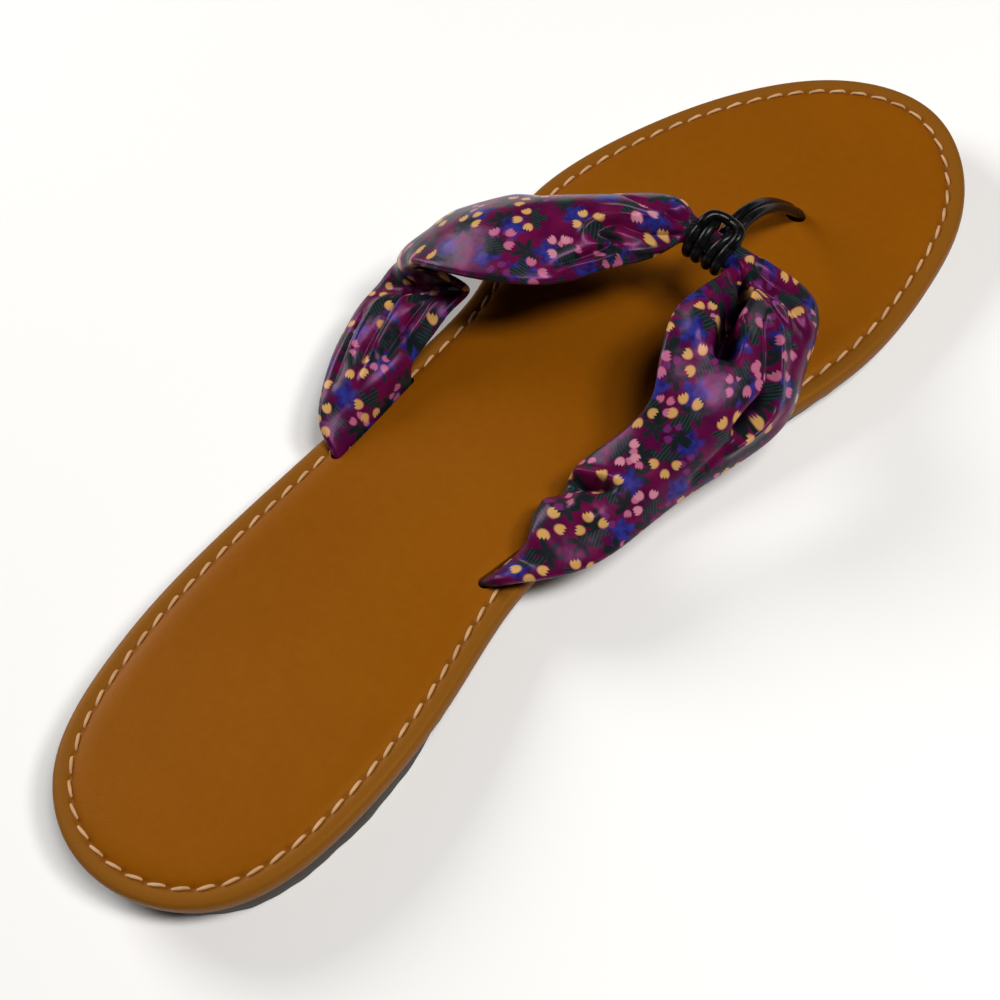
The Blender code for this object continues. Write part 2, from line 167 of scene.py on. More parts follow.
def closed_spline(points, steps):
    """Points along a closed natural cubic through the given points."""
    onwards = np.roll(points, -1, 0)
    spans = norm(onwards - points, axis=1) ** 0.5
    before, slope = np.roll(spans, 1), (onwards - points) / spans[:, None]
    matrix = (np.diag(2 * (before + spans)) + np.roll(np.diag(spans), 1, 1)
              + np.roll(np.diag(before), -1, 1))
    bend = np.linalg.solve(matrix, 6 * (slope - np.roll(slope, 1, 0)))[:, None]
    span = spans[:, None, None]
    t = span * np.linspace(0, 1, steps, endpoint=False)[:, None]
    ends = ((points[:, None], bend, span - t), (onwards[:, None], np.roll(bend, -1, 0), t))
    return sum(curve * u ** 3 / (6 * span) + (end / span - curve * span / 6) * u
               for end, curve, u in ends).reshape(-1, 2)


def lengths_along(points):
    """Length from the first point to each point of a line."""
    return np.concatenate([[0], np.cumsum(norm(np.diff(points, axis=0), axis=1))])


def evenly(points, count):
    """count points at equal lengths along a line, its end left out."""
    run = lengths_along(points)
    wanted = np.linspace(0, run[-1], count, endpoint=False)
    return np.column_stack([np.interp(wanted, run, points[:, k]) for k in range(points.shape[1])])


outline = closed_spline(np.array([row[1:] for row in OUTLINE]), OUTLINE_STEPS)
outline = np.roll(outline, -outline[:, 1].argmin(), 0)
toe_end = outline[:, 1].argmax()
sole_edge = np.vstack([evenly(outline[:toe_end + 1], EDGE_POINTS // 2),
                       evenly(np.vstack([outline[toe_end:], outline[:1]]), EDGE_POINTS // 2)])
footbed_low, footbed_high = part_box("footbed")
SHOE_PLACE = np.array([
    (footbed_low.x + footbed_high.x) * 500 - (outline[:, 0].min() + outline[:, 0].max()) / 2,
    (footbed_low.y + footbed_high.y) * 500 - SOLE_LENGTH / 2, 0.0])


def inset_edge(inset):
    """The edge of the footbed moved inwards, square to its own direction."""
    along = np.roll(sole_edge, -1, 0) - np.roll(sole_edge, 1, 0)
    along /= norm(along, axis=1)[:, None]
    return sole_edge + inset * np.column_stack([-along[:, 1], along[:, 0]])


def edge_distance(points):
    """How far inside the footbed's edge each point lies."""
    far = np.empty(len(points))
    for start in range(0, len(points), 2000):
        some = points[start:start + 2000, None, :2] - sole_edge[None, ::2]
        far[start:start + 2000] = np.sqrt((some ** 2).sum(2)).min(1)
    return far


def toe_lift(y):
    return TOE_SPRING * np.clip((y - SPRING_Y) / (SOLE_LENGTH - SPRING_Y), 0, 1) ** 2


def ground_height(y):
    """Underside of the outsole: flat heel, hollow waist, flat forepart, sprung toe."""
    rise, fall = smoothstep(y, *HEEL_BREAST_Y), 1 - smoothstep(y, HEEL_BREAST_Y[1], BALL_Y)
    return ARCH_RISE * np.minimum(rise, fall) + toe_lift(y)


def outsole_top(y):
    drop = (HEEL_THICKNESS - FOREPART_THICKNESS) * smoothstep(y, *TOP_BLEND_Y)
    return HEEL_THICKNESS - drop + toe_lift(y)


def banded(rows):
    """Faces between neighbouring closed rows of points, and each corner's row and step in it."""
    size = len(rows[0])
    row, step = np.divmod(np.arange((len(rows) - 1) * size), size)
    row, step = row[:, None] + [0, 0, 1, 1], step[:, None] + [0, 1, 1, 0]
    return row * size + step % size, row, step


def across_sole(rim, start, columns):
    """Points and faces that fill a closed row of the sole, in lines from side to side.
    start is the number of the row's first point."""
    size = len(rim)
    pairs = size // 2
    share = np.linspace(0, 1, columns + 1)[1:-1]
    inner = (rim[1:pairs][:, None] * (1 - share[:, None])
             + rim[size - 1:pairs:-1][:, None] * share[:, None])
    first_new = start + size
    grid = np.empty((pairs - 1, columns + 1), int)
    grid[:, 0], grid[:, -1] = start + np.arange(1, pairs), start + np.arange(size - 1, pairs, -1)
    grid[:, 1:-1] = first_new + np.arange((pairs - 1) * (columns - 1)).reshape(pairs - 1, -1)
    faces = list(np.stack(
        [grid[:-1, :-1], grid[1:, :-1], grid[1:, 1:], grid[:-1, 1:]], 2).reshape(-1, 4))
    faces += [(start, a, b) for a, b in zip(grid[0, :-1], grid[0, 1:])]
    faces += [(a, start + pairs, b) for a, b in zip(grid[-1, :-1], grid[-1, 1:])]
    return inner.reshape(-1, rim.shape[1]), faces


def sole_shell(rows, lines_above, lines_below):
    """A closed shell from the rows of its wall, filled across the sole above and below: its
    points, the wall's faces, the fills' faces, and which points are above and below."""
    walled = len(rows) * EDGE_POINTS
    above, above_faces = across_sole(rows[-1], walled - EDGE_POINTS, lines_above)
    filled = walled + len(above)
    below, below_faces = across_sole(rows[0], filled - EDGE_POINTS, lines_below)
    # The rim below is the wall's first row, and the faces there point down.
    below_faces = [[v if v >= filled else v - (filled - EDGE_POINTS) for v in face[::-1]]
                   for face in below_faces]
    return (np.vstack(rows + [above, below]), list(banded(rows)[0]), above_faces + below_faces,
            slice(walled, filled), slice(filled, None))


def make_piece(name, points, faces, material, uvs=None, place=SHOE_PLACE):
    """A smooth mesh from the shoe's millimetres. uvs has a pair for each corner of each face."""
    mesh = bpy.data.meshes.new(name)
    mesh.from_pydata(((points + place) * 0.001).tolist(), [], [tuple(map(int, f)) for f in faces])
    if uvs is not None:
        mesh.uv_layers.new(name="UVMap").data.foreach_set("uv", np.asarray(uvs, float).ravel())
    mesh.materials.append(material)
    mesh.shade_smooth()
    return in_scene(name, mesh)


class Wire:
    """The output of a node, so that patterns are written as sums."""

    def __init__(self, tree, end=None):
        self.tree, self.end = tree, end

    def node(self, kind, settings=None, values=None, out=0):
        """A node of a kind, its settings first and then its sockets' values or wires."""
        made = self.tree.nodes.new(kind if "Node" in kind else "ShaderNode" + kind)
        for name, value in (settings or {}).items():
            if name == "stops":
                while len(made.color_ramp.elements) < len(value):
                    made.color_ramp.elements.new(1.0)
                for stop, (place, colour) in zip(made.color_ramp.elements, value):
                    stop.position, stop.color = place, (*colour, 1)
            elif name == "interpolation":
                made.color_ramp.interpolation = value
            else:
                setattr(made, name, value)
        for name, value in (values or {}).items():
            if isinstance(value, Wire):
                self.tree.links.new(value.end, made.inputs[name])
            else:
                made.inputs[name].default_value = value
        return Wire(self.tree, made.outputs[out])

    def maths(self, operation, *values):
        return self.node("Math", {"operation": operation}, dict(enumerate(values)))

    def __add__(self, other): return self.maths("ADD", self, other)
    def __radd__(self, other): return self.maths("ADD", other, self)
    def __sub__(self, other): return self.maths("SUBTRACT", self, other)
    def __rsub__(self, other): return self.maths("SUBTRACT", other, self)
    def __mul__(self, other): return self.maths("MULTIPLY", self, other)
    def __rmul__(self, other): return self.maths("MULTIPLY", other, self)
    def __truediv__(self, other): return self.maths("DIVIDE", self, other)
    def __abs__(self): return self.maths("ABSOLUTE", self)

    def sine(self): return self.maths("SINE", self)
    def cosine(self): return self.maths("COSINE", self)
    def fraction(self): return self.maths("FRACT", self)
    def to_and_fro(self, size): return self.maths("PINGPONG", self, size)

    def between(self, low, high):
        """0 below low, 1 above high, and a straight rise between; low may be the larger."""
        return self.node("MapRange", {"clamp": True},
                         {"Value": self, "From Min": low, "From Max": high})

    def beside(self, out):
        """Another output of the node that this comes from."""
        return Wire(self.tree, self.end.node.outputs[out])

    def parts(self):
        """The x, y and z of a wire that carries a vector."""
        split = self.node("SeparateXYZ", {}, {0: self})
        return [split.beside(out) for out in range(3)]

    def mixed(self, first, second):
        """first where this is 0 and second where it is 1, for colours."""
        colours = [c if isinstance(c, Wire) else (*c, 1) for c in (first, second)]
        return self.node("Mix", {"data_type": "RGBA"},
                         {0: self, 6: colours[0], 7: colours[1]}, out=2)

    def stepped(self, *stops):
        """Plain colours, each from its stop to the next."""
        return self.node("ValToRGB", {"interpolation": "CONSTANT", "stops": stops}, {0: self})

    def bumps(self, depth, strength=1.0):
        """A normal for heights from 0 to 1 that stand depth metres deep."""
        return self.node("Bump", {}, {"Height": self, "Distance": depth, "Strength": strength})


def finish(name, constants):
    """A material whose shader has these constants, a wire to start its pattern from, and the
    place on the object."""
    material = bpy.data.materials.new(name)
    material.use_nodes = True
    shader = material.node_tree.nodes["Principled BSDF"]
    for socket, value in constants.items():
        shader.inputs[socket].default_value = value
    start = Wire(material.node_tree)
    return material, start, start.node("TexCoord", out=3)


def drive(material, **wires):
    """Join wires to the shader's sockets."""
    shader = material.node_tree.nodes["Principled BSDF"]
    for name, wire in wires.items():
        material.node_tree.links.new(wire.end, shader.inputs[name.replace("_", " ")])


def noise(wire, where, scale, detail=2.0, rough=0.5):
    return wire.node("TexNoise", {}, {
        "Vector": where, "Scale": scale, "Detail": detail, "Roughness": rough})


rubber, start, where = finish("brown_rubber", {"Specular IOR Level": 0.35})
mottle = noise(start, where, 90.0, 4.0)
drive(rubber, Base_Color=mottle.between(0.35, 0.75).mixed(RUBBER, RUBBER_WORN),
      Roughness=0.55 + 0.2 * mottle,
      Normal=noise(start, where, 2600.0, 3.0).bumps(0.00006, 0.6))

step = np.arange(EDGE_POINTS) * math.tau / EDGE_POINTS
trim = sum(depth * np.sin(number * step + begin) for depth, number, begin in TRIM_WAVES)
rows = []
for inset, share, rise in OUTSOLE_WALL:
    ring = inset_edge(inset)
    ring = ring + (inset_edge(inset + 1) - ring) * trim[:, None]
    ground, top = ground_height(ring[:, 1]), outsole_top(ring[:, 1])
    rows.append(np.column_stack([ring, ground + (top - ground) * share + rise]))
points, wall_faces, fill_faces, _, below = sole_shell(rows, OUTSOLE_LINES, TREAD_LINES)
tread = points[below]
# The tread's ribs are cut inside a plain border, and leave the waist plain.
wave = TREAD_WAVE * np.sin(math.tau * tread[:, 0] / TREAD_WAVE_PITCH)
rib = np.abs((tread[:, 1] + wave) / TREAD_PITCH % 1.0 - 0.5) * 2
field = smoothstep(edge_distance(tread), *TREAD_BORDER) * (1 - within(tread[:, 1], *TREADLESS_WAIST))
points[below, 2] = ground_height(tread[:, 1]) + TREAD_DEPTH * smoothstep(rib, *RIB_SIDE) * field
outsole = make_piece("outsole_rubber", points, wall_faces + fill_faces, rubber)
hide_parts("outsole")
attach(outsole, "root")

# ---- footbed ----------
# Smooth tan leather over thin foam, wrapped round a board and sewn down in a channel just
# inside the edge. Two slits let the scarf through, and an oval hole the doubled cord.
GAP, FOOTBED_THICKNESS = 0.3, 3.8
STITCH_INSET, STITCH_PITCH = 3.8, 4.8
FOREPART_TOP = FOREPART_THICKNESS + GAP + FOOTBED_THICKNESS
FOOTBED_WALL = (          # inset, height above the underside
    (1.1, 0.0), (0.45, 0.06), (0.12, 0.42), (-0.02, 1.0), (-0.05, 1.8),
)
FOOTBED_TOP = (           # inset, height above the edge's upper face, share of a needle's dimple
    (0.02, -1.05, 0), (0.16, -0.62, 0), (0.46, -0.24, 0), (0.92, -0.03, 0), (1.6, 0.06, 0),
    (2.3, 0.05, 0), (2.9, -0.03, 0.1), (3.3, -0.17, 0.5), (3.62, -0.30, 1.0), (3.98, -0.30, 1.0),
    (4.3, -0.13, 0.5), (4.7, 0.08, 0.1), (5.3, 0.27, 0), (6.1, 0.43, 0), (7.2, 0.54, 0),
    (8.6, 0.6, 0),
)
FOOTBED_LINES = 56, 6     # points across the sole, above and below
NEEDLE_DEPTH, NEEDLE_WIDTH = 0.20, 0.13
PADDING_RISE, PADDED_FROM = 0.6, (4, 8.6)
POST_HOLE, POST_HOLE_HALF = (0.6, 204.4), (2.5, 1.75)
HOLE_DIP, HOLE_DIP_REACH = 0.5, (0.8, 0.7)      # reach in half widths of the hole
SLIT_WIDTH, SLIT_CLEARANCE, SLIT_DIP, SLIT_DIP_REACH = 2.7, 1.4, 0.4, 3.2
SLITS = np.array((        # toe-side end, heel-side end
    ((15.2, 116.5), (12.6, 93.5)),
    ((-35.0, 117.0), (-33.0, 94.0)),
))
CUT_LOW, CUT_HIGH, CUTTER_POINTS = 1.0, 20.0, 32
PLAIN_UV = (0.0, 9.0)     # stitch number and inset of the leather away from the seam
TAN, TAN_DEEP, TAN_EDGE = (0.232, 0.070, 0.0016), (0.205, 0.060, 0.0012), (0.200, 0.072, 0.0070)
# Painted shade for the stitch channel and its needle holes.
SEAM_PAINTED_SHADE = (0.150, 0.045, 0.004)


def footbed_height(x, y):
    """Upper face of the footbed inside its edge, with the slow unevenness of foam."""
    uneven = 0.10 * np.sin(x / 11 + 1.3) * np.cos(y / 17) + 0.07 * np.sin(y / 9.5 + x / 23)
    return outsole_top(y) + GAP + FOOTBED_THICKNESS, uneven


seam_line = inset_edge(STITCH_INSET)
seam_run = lengths_along(np.vstack([seam_line, seam_line[:1]]))
STITCHES = round(seam_run[-1] / STITCH_PITCH)
stitch_count = seam_run / seam_run[-1] * STITCHES
needle = np.exp(-(((stitch_count[:-1] % 1.0) - 0.5) / NEEDLE_WIDTH) ** 2)
rows = []
for inset, height in FOOTBED_WALL:
    ring = inset_edge(inset)
    rows.append(np.column_stack([ring, outsole_top(ring[:, 1]) + GAP + height]))
for inset, height, dimple in FOOTBED_TOP:
    ring = inset_edge(inset)
    upper, uneven = footbed_height(*ring.T)
    rows.append(np.column_stack([ring, upper + height - NEEDLE_DEPTH * dimple * needle
                                 + uneven * smoothstep(inset, *PADDED_FROM)]))
_, row, step = banded(rows)
insets = np.array([rim[0] for rim in FOOTBED_WALL + FOOTBED_TOP])
uvs = np.dstack([stitch_count[step], insets[row]]).reshape(-1, 2)
points, wall_faces, fill_faces, above, _ = sole_shell(rows, *FOOTBED_LINES)
uvs = np.vstack([uvs, np.tile(PLAIN_UV, (sum(map(len, fill_faces)), 1))])
padded = points[above, :2]
from_hole = np.hypot(*((padded - POST_HOLE) / POST_HOLE_HALF).T)
sunk = HOLE_DIP * np.exp(-(np.maximum(from_hole - HOLE_DIP_REACH[0], 0) / HOLE_DIP_REACH[1]) ** 2)
for near, far in SLITS:
    share = np.clip((padded - near) @ (far - near) / ((far - near) @ (far - near)), 0, 1)
    away = norm(padded - near - share[:, None] * (far - near), axis=1)
    sunk += SLIT_DIP * np.exp(-(away / SLIT_DIP_REACH) ** 2)
upper, uneven = footbed_height(*padded.T)
points[above, 2] = upper + PADDING_RISE + uneven - sunk

leather, start, where = finish("tan_leather", {
    "Specular IOR Level": 0.22, "Specular Tint": (1.0, 0.50, 0.10, 1)})
stitch_place, inset, _ = start.node("UVMap", {"uv_map": "UVMap"}).parts()
slow = noise(start, where, 22.0, 3.0)
fine = noise(start, where, 420.0, 4.0, 0.6)
grain = start.node("TexVoronoi", {"feature": "DISTANCE_TO_EDGE"}, {"Vector": where, "Scale": 1500.0})
colour = (0.7 * slow + 0.3 * fine).between(0.36, 0.64).mixed(TAN_DEEP, TAN)
colour = inset.between(4.2, 2.6).mixed(colour, TAN_EDGE)
# Painted shade: the leather is darkened along the stitch channel, and most at the needle holes.
channel = 1 - abs(inset - STITCH_INSET).between(0.25, 1.0)
hole = 1 - abs(stitch_place.fraction() - 0.5).between(0.05, 0.2)
colour = (channel * (0.2 + 0.4 * hole)).mixed(colour, SEAM_PAINTED_SHADE)
drive(leather, Base_Color=colour, Roughness=0.44 + 0.10 * fine,
      Normal=(0.75 * grain.between(0.0, 0.25) + 0.9 * fine).bumps(0.00004, 0.5))


def capped(rows):
    """The faces of a closed tube of rows and of its two ends."""
    size, last = len(rows[0]), (len(rows) - 1) * len(rows[0])
    return [*banded(rows)[0], range(size)[::-1], range(last, last + size)]


def upright_cutter(name, ring):
    """A closed upright cutter with this outline, right through the footbed."""
    rows = [np.column_stack([ring, np.full(len(ring), z)]) for z in (CUT_LOW, CUT_HIGH)]
    return make_piece(name, np.vstack(rows), capped(rows), leather)


def circle(count, turned=0.0):
    """count points round a circle of radius 1."""
    turns = np.linspace(0, math.tau, count, endpoint=False) + turned
    return np.column_stack([np.cos(turns), np.sin(turns)])


def made_plain(piece):
    """Put the result of the piece's modifiers into its mesh."""
    evaluated = piece.evaluated_get(bpy.context.evaluated_depsgraph_get())
    plain = bpy.data.meshes.new_from_object(evaluated)
    piece.modifiers.clear()
    piece.data = plain


footbed = make_piece("footbed_leather", points, wall_faces + fill_faces, leather, uvs)
cutters = [upright_cutter("hole_cutter", POST_HOLE + POST_HOLE_HALF * circle(CUTTER_POINTS))]
for number, (near, far) in enumerate(SLITS):
    along = (far - near) / norm(far - near)
    over = along * (SLIT_CLEARANCE - SLIT_WIDTH / 2)
    ends = np.where(circle(CUTTER_POINTS)[:, :1] > 0, far + over, near - over)
    cutters.append(upright_cutter(f"slit_cutter_{number}", ends + SLIT_WIDTH / 2 * circle(
        CUTTER_POINTS, math.atan2(along[1], along[0]))))
for cutter in cutters:
    cut = footbed.modifiers.new(cutter.name, "BOOLEAN")
    cut.operation, cut.solver, cut.object = "DIFFERENCE", "EXACT", cutter
made_plain(footbed)
for cutter in cutters:
    bpy.data.objects.remove(cutter)
footbed.data.set_sharp_from_angle(angle=math.radians(50))
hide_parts("footbed")
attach(footbed, "root")

# ---- seam ----------
# Cream thread, lockstitched along the channel. Each stitch is a short bowed length of
# two-ply thread that dips at both ends and lies a little aslant of the seam.
STITCH_LENGTH, STITCH_BOW, STITCH_DIP, STITCH_SINK = 4.1, 0.36, 0.62, 0.33
THREAD_RADIUS, THREAD_FLAT, PLY, PLY_TWIST, END_TAPER = 0.34, 0.85, 0.13, 4.2, 0.55
STITCH_SIDES, STITCH_STATIONS = 8, 11
LEAST_SLANT, MOST_SLANT = math.radians(4.5), math.radians(9.5)
THREAD, THREAD_SHADE = (0.60, 0.355, 0.175), (0.44, 0.24, 0.10)

thread, start, where = finish("cream_thread", {"Specular IOR Level": 0.3, "Sheen Weight": 0.2})
tone = noise(start, where, 260.0, 2.0)
drive(thread, Base_Color=tone.between(0.3, 0.65).mixed(THREAD_SHADE, THREAD), Roughness=0.6 + 0.2 * tone,
      Normal=noise(start, where, 5200.0, 2.0).bumps(0.00005, 0.5))

turns = np.linspace(0, math.tau, STITCH_SIDES, endpoint=False)
rows = []
for t in np.linspace(-1, 1, STITCH_STATIONS):
    plies = 1 + PLY * np.cos(2 * turns - PLY_TWIST * t)
    radius = THREAD_RADIUS * (1 - abs(t) ** 6 * END_TAPER) * plies
    height = STITCH_BOW * (1 - abs(t) ** 2.6) - STITCH_DIP * abs(t) ** 8
    rows.append(np.column_stack([np.full(STITCH_SIDES, t * STITCH_LENGTH / 2), radius * np.cos(turns),
                                 height + THREAD_FLAT * radius * np.sin(turns)]))
one_stitch = make_piece("one_stitch", np.vstack(rows), capped(rows), thread, place=np.zeros(3))

seam_mesh = bpy.data.meshes.new("seam_line")
upper, _ = footbed_height(*seam_line.T)
seam_points = np.column_stack([seam_line, upper - STITCH_SINK]) + SHOE_PLACE
seam_mesh.from_pydata((seam_points * 0.001).tolist(),
                      [(i, (i + 1) % EDGE_POINTS) for i in range(EDGE_POINTS)], [])
seam = in_scene("seam_thread", seam_mesh)

tree = bpy.data.node_groups.new("lockstitch", "GeometryNodeTree")
tree.interface.new_socket("Geometry", in_out="INPUT", socket_type="NodeSocketGeometry")
SEWING = (                # the tree's inputs: label, kind, value
    ("Stitch", "Object", one_stitch), ("Stitches", "Int", STITCHES), ("Thread", "Material", thread),
    ("Least slant", "Float", LEAST_SLANT), ("Most slant", "Float", MOST_SLANT),
)
sockets = [tree.interface.new_socket(label, in_out="INPUT", socket_type="NodeSocket" + kind)
           for label, kind, _ in SEWING]
tree.interface.new_socket("Geometry", in_out="OUTPUT", socket_type="NodeSocketGeometry")

empty = Wire(tree)
given = empty.node("NodeGroupInput")
line = empty.node("GeometryNodeMeshToCurve", {}, {"Mesh": given})
spots = empty.node("GeometryNodeCurveToPoints", {"mode": "COUNT"},
                   {"Curve": line, "Count": given.beside("Stitches")})
pointing = empty.node("FunctionNodeAlignRotationToVector", {"axis": "X", "pivot_axis": "AUTO"},
                      {"Vector": spots.beside("Tangent")})
upright = empty.node("FunctionNodeAlignRotationToVector", {"axis": "Z", "pivot_axis": "X"},
                     {"Rotation": pointing, "Vector": (0.0, 0.0, 1.0)})
slant = empty.node("FunctionNodeRandomValue", {"data_type": "FLOAT"}, {
    2: given.beside("Least slant"), 3: given.beside("Most slant"), "Seed": 11}, out=1)
slanted = empty.node("FunctionNodeRotateRotation", {"rotation_space": "LOCAL"},
                     {"Rotation": upright, 1: empty.node("CombineXYZ", {}, {"Z": slant})})
shape = empty.node("GeometryNodeObjectInfo", {}, {"Object": given.beside("Stitch")}, out="Geometry")
placed = empty.node("GeometryNodeInstanceOnPoints", {},
                    {"Points": spots, "Instance": shape, "Rotation": slanted})
real = empty.node("GeometryNodeRealizeInstances", {}, {"Geometry": placed})
dyed = empty.node("GeometryNodeSetMaterial", {}, {"Geometry": real, "Material": given.beside("Thread")})
tree.links.new(dyed.end, tree.nodes.new("NodeGroupOutput").inputs[0])

sewing = seam.modifiers.new("lockstitch", "NODES")
sewing.node_group = tree
for socket, (_, _, value) in zip(sockets, SEWING):
    sewing[socket.identifier] = value
made_plain(seam)
seam.data.shade_smooth()
bpy.data.objects.remove(one_stitch)
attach(seam, "root")

# ---- scarf ----------
# A long satin scarf with a small flower print, folded lengthwise into a soft flat tube. It
# comes up through the slit on the big-toe side, is gathered where the cord is hitched round
# it, and goes down through the slit on the little-toe side.
# One row for each section: x, y and height above the ball's footbed of the edge that is on
# the heel side at the hitch and of the other edge, how far the middle stands out, and the
# thickness of the folded cloth.
SCARF = (
    ("inner slit, foot", 15.2, 116.5, -3, 12.6, 93.5, -3, 0, 1.6),
    ("inner slit, lip", 15.2, 116.5, 0.7, 12.6, 93.5, 0.7, 0, 1.6),
    ("inner border", 13.8, 118.2, 5, 17.8, 96.6, 4.6, 1.2, 2),
    ("inner waist", 13, 122.5, 9, 26.6, 110, 4.8, 3.4, 2),
    ("inner side", 16.8, 133.2, 14, 30.4, 131.4, 4.8, 4.5, 2),
    ("inner ball", 18.1, 140.2, 20, 35, 155.4, 6, 6, 2),
    ("inner fore", 14.2, 147.5, 23, 30.5, 169.5, 8.6, 6.4, 2),
    ("inner gather", 9.4, 157.1, 23.2, 23.5, 180.8, 11.8, 5.2, 2),
    ("inner throat", 10.6, 167, 22.8, 14.6, 178, 20, 1.4, 2.2),
    ("inner neck", 8.8, 173.8, 19.9, 8.8, 176, 21.7, 0.2, 2.4),
    ("outer neck", -3.8, 173.8, 19.9, -3.8, 176, 21.7, 0.2, 2.4),
    ("outer throat", -6.6, 164.4, 20.8, -8.8, 176.8, 23.2, 2.2, 2.2),
    ("outer gather", -10.2, 156.4, 22.8, -17.4, 174.2, 20.6, 6, 2),
    ("outer fore", -14.6, 146.6, 24.2, -29.4, 168, 13.4, 9.2, 2),
    ("outer ball", -23.2, 137.8, 26.8, -42, 159, 8, 9.2, 2),
    ("outer side", -36.6, 133.4, 23, -50.8, 145.1, 5.6, 6.7, 2),
    ("outer lobe", -44.4, 132.6, 18.6, -53.2, 135.4, 8.6, 2.4, 1.4),
    ("outer tuck", -36.4, 137, 11.8, -54.1, 128, 5.2, 0.5, 1.8),
    ("outer waist", -35.6, 130, 10, -52.6, 119.6, 5, 3.4, 2),
    ("outer border", -35.5, 121.4, 6.6, -48.4, 108.6, 4.8, 3, 2),
    ("outer base", -35.2, 118.4, 4.8, -40, 97.4, 4.8, 1.5, 2),
    ("outer slit, lip", -35, 117, 0.7, -33, 94, 0.7, 0, 1.6),
    ("outer slit, foot", -35, 117, -3, -33, 94, -3, 0, 1.6),
)
SCARF_STATIONS, SCARF_ACROSS, ROLL_STEPS, UNDER_ACROSS = 440, 140, 10, 48
FINE_STEPS, TRACE_STEPS = 2001, 16       # along the whole scarf, and for each point of a fold
EVEN_SHARE = 0.6              # the rest of the points across crowd towards the edges
# Section numbers where the cloth is free to fold, drawn tight, and tucked under the lobe, which is
# darkened with painted shade.
FREE, NECK, TUCK = ((1.0, 2.2), (19.8, 21.0)), ((8.3, 9.0), (10.0, 10.7)), ((15.6, 16.1), (17.5, 18.3))
FOLD_ENDS = ((0, 0.28), (0.72, 1.0))    # shares of a fold's length where it rises and dies away
WAVES, WAVES_ACROSS = (0.30, 0.22), 40   # heights of the slow unevenness, and its size across
THICK_ACROSS, THICK_EDGE, EDGE_REACH = (0.6, 0.75), (1.15, 0.2), 2.6     # walls, more in the neck
# Painted shade: fold hollows deeper than these depths, and cloth tucked under the lobe, are darkened in
# colour as though in shadow.
HOLLOW_DEPTH, HOLLOW_SHADE = (1.0, 3.8), 0.95     # depths between which a fold's hollow goes dark
TUCK_SHARE, TUCK_SHADE = (0.14, 0.46), 0.9        # shares from the edge between which it fades
